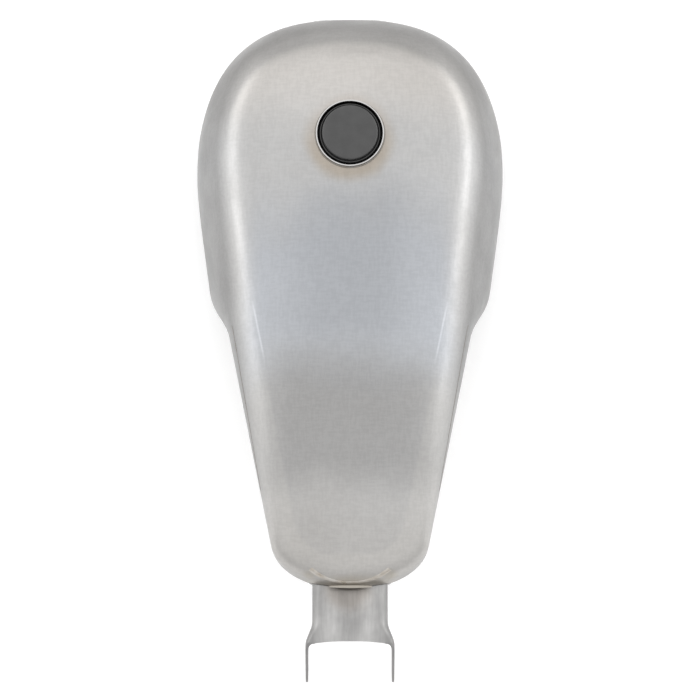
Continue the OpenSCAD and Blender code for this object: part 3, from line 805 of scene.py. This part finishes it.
def black_anodised(name, tone, roughness):
    """Black anodised aluminium with a faint grain and handling marks."""
    look = Look(name, metallic=0.0, roughness=roughness, Specular_IOR_Level=0.5)
    patch = look.noise(90, 4)
    speck = look.noise(2600, 2, shift=2.0)
    colour = look.blend(look.span(patch, 0.3, 0.7), grey(tone * 0.9), grey(tone * 1.08))
    look.colour(look.mottle(look.span(speck, 0.35, 0.7), colour, grey(1.1)))
    look.rough(look.span(patch, 0.25, 0.75, roughness - 0.05, roughness + 0.07))
    look.bump(speck, 0.05, 0.0002)
    return look.material


def simple_look(name, tone, roughness, metallic=0.0):
    """Rubber, plastic, brass and spring wire, each with a little mottling."""
    look = Look(name, metallic=metallic, roughness=roughness)
    patch = look.noise(300, 4)
    dark = tuple(c * 0.85 for c in tone) + (1,)
    light = tuple(min(1, c * 1.1) for c in tone) + (1,)
    look.colour(look.blend(look.span(patch, 0.3, 0.7), dark, light))
    look.rough(look.span(patch, 0.3, 0.7, roughness - 0.06, roughness + 0.08))
    look.bump(look.noise(1800, 2, shift=2.0), 0.15, 0.0002)
    return look.material


def dress(piece, material, body, slot, *nodes):
    """Gives a piece its material, the body it rides on and the nodes it stands for; the slot is
    not used.
    """
    piece.data.materials.clear()
    piece.data.materials.append(material)
    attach(piece, body)
    if nodes:
        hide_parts(*nodes)


def dress_node(node, material):
    obj = frame["nodes"][node]
    for slot in obj.material_slots:
        slot.material = material


# ---------- body pieces ----------
PAN_STEPS = 12
HOLE_GAP = 0.1                         # between a hole's edge and the piece in it
NIPPLE_R = 4.0
PATCH_HALF, PATCH_RISE = 38.5, 12.5    # the curved bead at the tail
SEAM_END = -150                        # the flank seams end this far back


def tunnel_outline(grow, low=-20.0, steps=14):
    """Section of the tunnel in X and Z, open downward, grown outward by some millimetres."""
    half, top, r = TUNNEL_HALF + grow, TUNNEL_H + grow, TUNNEL_R + grow
    left = [(-half, low)] + [(-half + r - r * math.cos(a), top - r + r * math.sin(a))
                             for a in np.linspace(0, math.pi / 2, steps)]
    return left + [(-x, z) for x, z in reversed(left)]


def make_shells(steel, pan_steel):
    places = stations(72, 30, 40, 60, 44)
    outer_top, outer_side = body_rows(places, 0)
    inner_top, inner_side = body_rows(places, WALL)
    top = sheet("shell_top", outer_top, inner_top, both_sides=True)
    boolean(top, cylinder("hole", NECK_R + HOLE_GAP, FILLER + (0, 0, -30), FILLER + (0, 0, 30)))
    dress(top, steel, "tank", "body_steel", "top_panel")
    halves = []
    for sign, name, node in ((1, "shell_right", "right_side_shell"),
                             (-1, "shell_left", "left_side_shell")):
        flip = np.array([sign, 1, 1])
        half = sheet(name, outer_side * flip, inner_side * flip)
        boolean(half, extrusion("mouth", tunnel_outline(0), "y", -PAST_BODY, PAST_BODY))
        dress(half, steel, "tank", "body_steel", node)
        halves.append(half)
    # bottom pans, level across the body at each place along it
    edge = outer_side[:, -1]
    edge = edge[edge[:, 0] > TUNNEL_HALF + 1]
    share = np.linspace(0, 1, PAN_STEPS)[None, :]
    x = mix(TUNNEL_HALF, edge[:, :1], share)
    y, z = np.repeat(edge[:, 1:2], PAN_STEPS, 1), np.repeat(edge[:, 2:3], PAN_STEPS, 1)
    for sign, name, node in ((1, "pan_right", "right_bottom_pan"),
                             (-1, "pan_left", "left_bottom_pan")):
        pan = sheet(name, points(sign * x, y, z), points(sign * x, y, z + WALL))
        if sign < 0:
            low, high = box_mm("petcock_bung")
            middle, radius = (low + high) / 2, (high[0] - low[0]) / 2
            boolean(pan, cylinder("hole", radius + HOLE_GAP, middle - (0, 0, 40),
                                  middle + (0, 0, 40)))
        dress(pan, pan_steel, "tank", "body_steel", node)
    return (top, halves[1], halves[0]), outer_side


def make_tunnel(pan_steel, side):
    """The channel along the middle, trimmed to the body's side view."""
    ys = np.linspace(NOSE_Y + 2, TAIL_Y + 5.0, 240)
    outer, inner = np.array(tunnel_outline(0)), np.array(tunnel_outline(-WALL))
    grid = [points(*(np.broadcast_arrays(line[None, :, 0], ys[:, None])), line[None, :, 1])
            for line in (outer, inner)]
    tunnel = sheet("tunnel_skin", grid[0], grid[1])
    outline = [(p[1], p[2]) for p in side[0]] + [(p[1], p[2]) for p in side[1:, -1]]
    outline += [(p[1], p[2]) for p in side[-1, ::-1][1:]]
    boolean(tunnel, extrusion("trim", outline, "x", -PAST_BRACKET, PAST_BRACKET), "INTERSECT")
    low, high = box_mm("crossover_nipples")
    place = (low + high) / 2
    boolean(tunnel, cylinder("hole", NIPPLE_R + HOLE_GAP, place - (200, 0, 0),
                             place + (200, 0, 0)))
    dress(tunnel, pan_steel, "tank", "body_steel", "tunnel")


def filler_bead(skin):
    """Bead round the filler, lying on the top panel."""
    path, up = [], []
    outer, middle = NECK_R + 0.9, NECK_R + 0.9 - 0.7
    for a in np.linspace(0, 2 * math.pi, 420, endpoint=False):
        around = np.array([math.cos(a), math.sin(a)])
        x, y = FILLER[:2] + outer * around
        hit = skin.ray_cast(Vector((x, y, RAY_Z)) * MM, Vector((0, 0, -1)))
        path.append((*(FILLER[:2] + middle * around), hit[0].z / MM + 0.1))
        up.append((around[0] * 0.5, around[1] * 0.5, 1))
    radii = [r + 0.08 * math.sin(n * 0.13)
             for n, r in enumerate(ripple(path, 0.85, 0.10, 1.05))]
    return tube("weld_filler", path, radii, closed=True, normals=up, flat=0.55)


def mouth_bead(skin, name, turn, low, scale):
    """Bead round the tunnel's mouth, at the nose (turn -1) or the tail (turn 1)."""
    line = np.array(tunnel_outline(0.7, low + 1.0, 26))
    legs = np.linspace(0, 1, 60)[:-1, None]
    line = np.concatenate([mix(line[0], line[1], legs), line[1:26],
                           mix(line[25], line[26], np.linspace(0, 1, 100)[1:-1, None]),
                           line[26:51], mix(line[50], line[51], legs[1:])])
    path, up = [], []
    for x, z in line:
        hit = skin.ray_cast(Vector((x, -turn * PAST_BODY, z)) * MM, Vector((0, turn, 0)))
        if hit[0] is not None and (not path or abs(hit[0].y / MM - path[-1][1]) < 6):
            path.append((x, hit[0].y / MM, z))
            up.append(tuple(hit[1]))
    radii = [r * scale for r in ripple(path, 1.25, 0.15, 1.4)]
    return tube(name, path, radii, normals=up, flat=0.4)


def make_welds(shells, metal, burnt, scaled, side):
    """Beads with their ripples: filler, tunnel mouths, bottom seams, flank seams, tail patch."""
    skin = surface_of(*shells)
    beads = [filler_bead(skin), mouth_bead(skin, "weld_nose", -1, NOSE_RISE, 1.0),
             mouth_bead(skin, "weld_tail", 1, TAIL_BASE, 0.62)]
    edge = side[:, -1]
    fine = dense(edge[edge[:, 0] > TUNNEL_HALF + 1.5], 0.9)
    for sign, name in ((1, "weld_bottom_right"), (-1, "weld_bottom_left")):
        path = [(sign * (p[0] + 0.8), p[1], p[2] + 0.45) for p in fine]
        beads.append(tube(name, path, ripple(path, 1.5, 0.16, 0.9), flat=0.4, sides=8))
    seam_start = LOBE_END - LOBE_RUN * 0.9
    for sign, name in ((1, "seam_right"), (-1, "seam_left")):
        places = []
        for y in np.linspace(seam_start, SEAM_END, 260):
            inset = mix(1.0, 5.5, (y - SEAM_END) / (seam_start - SEAM_END))
            places.append((sign * (float(wide_half(y)) - inset), y))
        path, up = laid_on(skin, places)
        beads.append(tube(name, path, 0.55, normals=up, flat=0.5, sides=8))
    path, up = laid_on(skin, [(x, TAIL_Y + 4.0 + PATCH_RISE * (abs(x) / PATCH_HALF) ** 2.4)
                              for x in np.linspace(-PATCH_HALF, PATCH_HALF, 160)])
    beads.append(tube("weld_tail_patch", path, ripple(path, 2.3, 0.12, 1.3), normals=up,
                      flat=0.16, sides=12))
    # the tail mouth's bead is near-black: dark weld scale and painted shadow of the gap under the
    # tail
    looks = {"weld_filler": burnt, "weld_nose": burnt, "weld_tail": scaled,
             "seam_right": burnt, "seam_left": burnt}
    for bead in beads:
        dress(bead, looks.get(bead.name, metal), "tank", "body_steel")


# ---------- rear bracket ----------
BRACKET_T = 2.5
BRACKET_GAP = 0.3                   # between the bracket and the tunnel around it
WEB_END = BRACKET_LO[1] + 38.4
FLARE_Y = TAIL_Y - 32               # from here back the bracket widens
EAR_R, ROLL_R = 14, 7.5
FLANGE_DEPTH, TONGUE_DEPTH = 60, 24
GROOVE_DEPTH, GROOVE_HALF_BACK, GROOVE_HALF_FRONT = 4.5, 18.0, 21.0
ARCH_R = 9                          # inner corners where the web is cut back


def bracket_half(y):
    inside = TUNNEL_HALF - WALL - BRACKET_GAP
    return mix(BRACKET_HI[0], inside, smooth(WEB_END - 4, FLARE_Y, y))


def bracket_section(y, inset, columns):
    """Across the bracket at one place: up one flange, over the grooved web, down the other."""
    half, top = bracket_half(y) - inset, BRACKET_HI[2] - inset
    radius = mix(ROLL_R, TUNNEL_R - WALL - BRACKET_GAP, smooth(WEB_END, FLARE_Y + 6, y))
    r = max(radius - inset, 1.2)
    low = BRACKET_HI[2] - FLANGE_DEPTH
    groove = mix(GROOVE_HALF_BACK, GROOVE_HALF_FRONT, smooth(WEB_END - 2, TAIL_Y + 10, y))
    flat = np.linspace(half - r, 0, columns)
    drop = GROOVE_DEPTH * (1 - smooth(0, groove, np.abs(flat)))
    right = [(half, z) for z in np.linspace(low, top - r, 8, endpoint=False)]
    right += [(half - r + r * math.cos(a), top - r + r * math.sin(a))
              for a in np.linspace(0, math.pi / 2, 10, endpoint=False)]
    right += list(zip(flat, top - drop))
    line = right + [(-x, z) for x, z in reversed(right[:-1])]
    return np.array([(x, y, z) for x, z in line])


def make_bracket(steel, weld, lip_steel):
    """Pressed saddle plate with its ears, the weld round it and the lip of weld on its web."""
    ys = np.concatenate([np.linspace(BRACKET_HI[1], FLARE_Y, 30, endpoint=False),
                         np.linspace(FLARE_Y, WEB_END - 6, 50, endpoint=False),
                         np.linspace(WEB_END - 6, BRACKET_LO[1] - 1, 14)])
    outer = np.array([bracket_section(y, 0, 30) for y in ys])
    inner = np.array([bracket_section(y, BRACKET_T, 30) for y in ys])
    bracket = sheet("bracket", outer, inner)
    # side view: ears, flanges, and the shallower tongue inside the tunnel
    top, end, low = BRACKET_HI[2], BRACKET_LO[1], BRACKET_LO[2]
    ear_z = MOUNTS["rear_mount"]["pos_m"][2] / MM
    side = [(end + EAR_R - EAR_R * math.sin(a), ear_z - EAR_R * math.cos(a))
            for a in np.linspace(0, math.radians(152), 26)]
    side += [(WEB_END - 2, top - 2), (WEB_END + 4, top + 9), (TAIL_Y + 60, top + 9),
             (TAIL_Y + 60, top - TONGUE_DEPTH)]
    side += rounded([(TAIL_Y + 6, top - TONGUE_DEPTH), (TAIL_Y + 6, low + 4, 4)], 5)[:5]
    side += [(TAIL_Y + 6, top - 30), (TAIL_Y + 2, low + 3), (TAIL_Y - 3, low)]
    boolean(bracket, extrusion("trim", side, "x", -PAST_BRACKET, PAST_BRACKET), "INTERSECT")
    # web cut back between the ears, with rounded inner corners
    wide = BRACKET_HI[0] - BRACKET_T - 0.4
    corner_x, corner_y = wide - ARCH_R, WEB_END - ARCH_R - 2
    half_arch = [(wide, end - 10), (wide, corner_y)]
    half_arch += [(corner_x + ARCH_R * math.cos(a), corner_y + ARCH_R * math.sin(a))
                  for a in np.linspace(0.1, math.pi / 2, 12)]
    half_arch += [(x, WEB_END - 2 * (x / corner_x) ** 2) for x in np.linspace(corner_x - 2, 0, 20)]
    plan = half_arch + [(-x, y) for x, y in reversed(half_arch[:-1])]
    boolean(bracket, extrusion("gap", plan, "z", top - FLANGE_DEPTH, top + 10))
    ear_y = MOUNTS["rear_mount"]["pos_m"][1] / MM
    hole_r = MOUNTS["rear_mount"]["dims"]["r_mm"]
    boolean(bracket, cylinder("hole", hole_r, (-PAST_BRACKET, ear_y, ear_z),
                              (PAST_BRACKET, ear_y, ear_z)))
    soften(bracket, 0.4, 2)
    dress(bracket, steel, "tank", "bracket_steel", *BRACKET)
    # fillet weld round the channel where it leaves the tunnel
    line = dense(np.array(tunnel_outline(-WALL - 0.1, top - TONGUE_DEPTH, 20)), 0.8)
    path = [(x, TAIL_Y + 3.4 + 4.0 * (abs(x) / 38) ** 4, z) for x, z in line]
    bead = tube("weld_bracket", path, ripple(path, 1.1, 0.12, 1.2),
                normals=[(0, -1, 0.2)] * len(path), flat=0.8)
    dress(bead, weld, "tank", "bracket_steel")
    # short lip of weld metal over the middle of the web
    count = 60
    path = [(x, TAIL_Y + 0.5, top + 10.4) for x in np.linspace(-20, 21, count)]
    radii = [1.7 * math.sin(math.pi * (n + 1) / (count + 2)) ** 0.35 for n in range(count)]
    lip = tube("weld_lip", path, radii, flat=0.45, sides=12)
    dress(lip, lip_steel, "tank", "bracket_steel")


# ---------- filler and cap ----------
NECK_RIM, NECK_SEAT = 1.8, 8.5      # the rim's width, and the depth of the gasket's seat
THREAD_IN = 8.2                     # from the neck's outside in to its thread
THREAD_GAP, THREAD_PITCH, THREAD_DEEP, THREAD_TURNS = 0.3, 3.0, 0.8, 6
FLANGE_T, LIP_W, DISH = 3.8, 1.25, 1.7
WELL_WALL, WELL_FLOOR, VENT_R = 4, 3, 3.1
CLIP_GAP, CLIP_W, CLIP_OPEN = 0.1, 3.1, 0.16


def make_filler(steel):
    """Turned ring with its rim, the gasket's seat and the thread."""
    low = NECK_LO[2] - NECK_HI[2]
    rim, seat, r = NECK_RIM, NECK_SEAT, NECK_R
    thread = r - THREAD_IN
    profile = rounded([(r, 0, 0.8), (r - rim, 0, 0.8), (r - rim, -seat, 0.6),
                       (thread, -seat, 0.4)], 0.4)
    for n in range(THREAD_TURNS):
        z = -seat - 1.2 - n * THREAD_PITCH
        if z - THREAD_PITCH > low:
            profile += [(thread, z), (thread + THREAD_DEEP, z - 1.1),
                        (thread + THREAD_DEEP, z - 1.5), (thread, z - 2.6)]
    profile += [(thread, low), (thread + 5, low), (r, -seat - 6)]
    neck = lathe("filler_ring", profile, FILLER, 220)
    dress(neck, steel, "tank", "machined_steel", "filler_neck")


def make_rings(axis, rubber, plastic):
    """Gasket with a rounded outer lip, and the slip washer."""
    for node, name, body, slot, material, radius, steps in (
            ("cap_gasket", "gasket", "gasket", "gasket_rubber", rubber, 0.55, 6),
            ("slip_washer", "washer", "washer", "washer_plastic", plastic, 0.12, 3)):
        low, high = box_mm(node)
        outer, inner = (high[0] - low[0]) / 2, NECK_R - THREAD_IN
        profile = rounded([(inner, low[2]), (outer, low[2]), (outer, high[2]), (inner, high[2])],
                          radius, steps)
        dress(lathe(name, profile, axis, 200), material, body, slot, node)


def make_circlip(axis, wire):
    """Open ring that is a little wider at its two ends."""
    low, high = box_mm("knob_retainer")
    outer = (high[0] - low[0]) / 2
    inner = outer - CLIP_W
    turn = np.linspace(CLIP_OPEN, 2 * math.pi - CLIP_OPEN, 140)
    section = [(inner, low[2]), (outer, low[2]), (outer, high[2]), (inner, high[2])]
    verts = []
    for n, a in enumerate(turn):
        eye = max(0, 1 - min(n, len(turn) - 1 - n) / 6.0)
        for r, z in section:
            r = r - 0.35 * eye if r == inner else r
            verts.append((axis[0] + r * math.cos(a), axis[1] + r * math.sin(a), z))
    quads, ends = hoops(len(turn), len(section))
    clip = new_object("circlip", verts, quads + ends)
    soften(clip, 0.12, 2)
    dress(clip, wire, "cap", "spring_steel", "knob_retainer")


def make_cap(black, rubber, plastic, wire, brass, dark):
    """Cap with its rings, circlip, vent, spring and pop-up knob."""
    axis = np.array([FILLER[0], FILLER[1], 0])
    make_rings(axis, rubber, plastic)
    # cap body: flange, screwed shank, well for the knob
    flange_r, top, bottom_z = (CAP_HI[0] - CAP_LO[0]) / 2, CAP_HI[2], CAP_LO[2]
    shank, flange_z = NECK_R - THREAD_IN - THREAD_GAP, top - FLANGE_T
    root, well = shank - THREAD_DEEP, shank - WELL_WALL
    clip_low, clip_high = box_mm("knob_retainer")
    groove_top, groove_low = clip_high[2] + CLIP_GAP, clip_low[2] - CLIP_GAP
    profile = [(VENT_R, bottom_z), (root - 0.4, bottom_z), (root, bottom_z + 0.8)]
    z = bottom_z + 1.0
    while z + THREAD_PITCH < flange_z - 1.5:
        profile += [(root, z + 0.2), (shank, z + 1.25), (shank, z + 1.55), (root, z + 2.6)]
        z += THREAD_PITCH
    profile += [(root, flange_z - 0.6), (shank, flange_z)]
    profile += rounded([(flange_r, flange_z, 0.5), (flange_r, top, 0.55),
                        (flange_r - LIP_W, top, 0.5), (flange_r - 1.6, top - DISH, 0.4),
                        (well + 1.6, top - DISH, 0.4), (well + 1.2, top, 0.5), (well, top, 0.4),
                        (well, groove_top, 0)], 0.5, 6)
    profile += [(well + 2, groove_top), (well + 2, groove_low), (well, groove_low),
                (well, bottom_z + WELL_FLOOR), (VENT_R, bottom_z + WELL_FLOOR)]
    dress(lathe("cap", profile, axis, 240), black, "cap", "cap_black", "cap_body")
    make_circlip(axis, wire)
    # vent valve
    low, high = box_mm("vent_valve")
    profile = rounded([(1, low[2], 0.2), (5, low[2], 0.4), (5, bottom_z - 0.1, 0.2),
                       (3, bottom_z - 0.1, 0), (3, high[2], 0.5), (1, high[2], 0.2)], 0.3, 4)
    dress(lathe("vent", profile, axis, 96), brass, "cap", "brass", "vent_valve")
    dress_node("knob_spring", wire)
    # knob: smooth disc with a rounded edge, skirt and collar
    radius, low_z, top = (KNOB_HI[0] - KNOB_LO[0]) / 2, KNOB_LO[2], KNOB_HI[2]
    skirt, plate, disc_low = well - 2.5, 2.5, top - 5
    collar, skirt_t, edge = well - 0.3, 2.5, 2.4
    arc = [(radius - edge + edge * math.cos(a), top - 0.9 - edge + edge * math.sin(a))
           for a in np.linspace(0, 1.25, 12)]
    foot_r, foot_z = arc[-1]
    crown = [(r, top - (top - foot_z) * (r / foot_r) ** 5)
             for r in np.linspace(foot_r, 0.001, 22)[1:]]
    profile = [(0.001, top - plate), (skirt - skirt_t, top - plate), (skirt - skirt_t, low_z),
               (collar - 0.4, low_z), (collar, low_z + 0.4), (collar, low_z + 2.7),
               (collar - 0.3, low_z + 3), (skirt, low_z + 3), (skirt, disc_low),
               (radius - 0.7, disc_low), (radius - 0.1, disc_low + 0.6)]
    dress(lathe("knob_disc", profile + arc + crown, axis, 240), dark, "knob", "knob_black", "knob")


# ---------- fittings below ----------
def make_bung(machined):
    """Threaded bung for the fuel valve."""
    low, high = box_mm("petcock_bung")
    middle = np.array([(low[0] + high[0]) / 2, (low[1] + high[1]) / 2, 0])
    bore, outer = MOUNTS["fuel_valve_bung"]["dims"]["r_mm"], (high[0] - low[0]) / 2
    pitch, deep = 1.5, 0.75
    profile = [(outer, low[2]), (bore + 1.0, low[2]), (bore, low[2] + 1.0)]
    z = low[2] + 1.2
    while z + pitch < high[2] - 0.8:
        profile += [(bore, z), (bore + deep, z + 0.6), (bore + deep, z + 0.8), (bore, z + 1.4)]
        z += pitch
    profile += [(bore, high[2] - 0.5), (bore + 0.6, high[2]), (outer - 0.8, high[2]),
                (outer, high[2] - 0.8)]
    bung = lathe("valve_bung", profile, middle, 160)
    dress(bung, machined, "tank", "machined_steel", "petcock_bung")


def make_nipples(machined):
    """Hose nipples with three barbs and a collar, one on each side of the tunnel."""
    low, high = box_mm("crossover_nipples")
    y, z = (low[1] + high[1]) / 2, (low[2] + high[2]) / 2
    start = TUNNEL_HALF - WALL - 16
    length = high[0] - start
    profile = [(1.5, 0), (3.0, 0), (3.3, 0.4), (4.0, 3.2), (3.45, 3.4), (3.45, 4.4), (4.0, 7.4),
               (3.45, 7.6), (3.45, 8.6), (4.0, 11.6), (3.8, 12.0), (4.0, 12.4), (4.0, 17.7),
               (7.0, 17.7), (7.0, length - 0.3), (6.7, length), (1.5, length)]
    for sign, name, nodes in ((1, "nipple_right", ["crossover_nipples"]), (-1, "nipple_left", [])):
        nipple = lathe(name, profile, (0, 0, 0), 72)
        nipple.data.transform(Vector((0, 0, 1)).rotation_difference(
            Vector((sign, 0, 0))).to_matrix().to_4x4())
        for v in nipple.data.vertices:
            v.co += Vector((sign * start, y, z)) * MM
        dress(nipple, machined, "tank", "machined_steel", *nodes)


def make_tabs(bracket_steel):
    """Front mount tabs, each with a round lower end about the bolt hole."""
    bolt = np.array(MOUNTS["front_mount"]["pos_m"]) / MM
    hole_r = MOUNTS["front_mount"]["dims"]["r_mm"]
    for node, name in (("front_mount_right", "tab_right"), ("front_mount_left", "tab_left")):
        low, high = box_mm(node)
        r = bolt[2] - low[2]
        outline = [(bolt[1] + r * math.sin(a), bolt[2] - r * math.cos(a))
                   for a in np.linspace(-1.75, 1.75, 40)]
        outline += [(high[1], high[2] - 8), (high[1], high[2] - 1), (high[1] - 1, high[2]),
                    (low[1] + 1, high[2]), (low[1], high[2] - 1), (low[1], high[2] - 8)]
        tab = extrusion(name, outline, "x", low[0], high[0])
        boolean(tab, cylinder("hole", hole_r, (low[0] - 5, bolt[1], bolt[2]),
                              (high[0] + 5, bolt[1], bolt[2])))
        soften(tab, 0.5, 3)
        dress(tab, bracket_steel, "tank", "bracket_steel", node)


def main():
    make_camera()
    make_studio()
    steel = body_steel()
    pan_steel = plain_steel("mill_sheet", 0.55, 0.4, 0.01)
    # the pressed plate gets painted highlight lines along its groove, painted shade on its sides
    # and a painted shadow under the weld lip
    bracket_steel = plain_steel("pressed_plate", 0.335, 0.40, 0.012, (1, 0.12, 0.6),
                                heat=((0, TAIL_Y * MM, BRACKET_HI[2] * MM), 0.030), highlight_offset=0.018)
    machined = turned_steel("turned_steel", 0.70)
    weld = weld_metal("weld_metal", 1.0)
    burnt = weld_metal("burnt_weld", 0.45)
    # near-black weld: dark scale and painted shadow of the gap under the tail
    scaled = weld_metal("weld_darkened_as_shadow", 0.20)
    shells, side = make_shells(steel, pan_steel)
    make_tunnel(pan_steel, side)
    make_welds(shells, weld, burnt, scaled, side)
    make_bracket(bracket_steel, burnt, steel)
    make_filler(turned_steel("neck_steel", 0.56, (NECK_HI[2] - 1.0) * MM))
    make_cap(black_anodised("cap_anodised", 0.026, 0.42),
             simple_look("rubber", (0.03, 0.03, 0.03), 0.7),
             simple_look("waxy_plastic", (0.78, 0.77, 0.72), 0.4),
             simple_look("spring_wire", (0.55, 0.55, 0.54), 0.28, metallic=1.0),
             simple_look("turned_brass", (0.75, 0.55, 0.25), 0.28, metallic=1.0),
             black_anodised("knob_anodised", 0.046, 0.36))
    make_bung(machined)
    make_nipples(machined)
    make_tabs(bracket_steel)
    baffle_steel = plain_steel("baffle_sheet", 0.5, 0.45)
    for node in ("front_baffle", "rear_baffle"):
        dress_node(node, baffle_steel)


main()
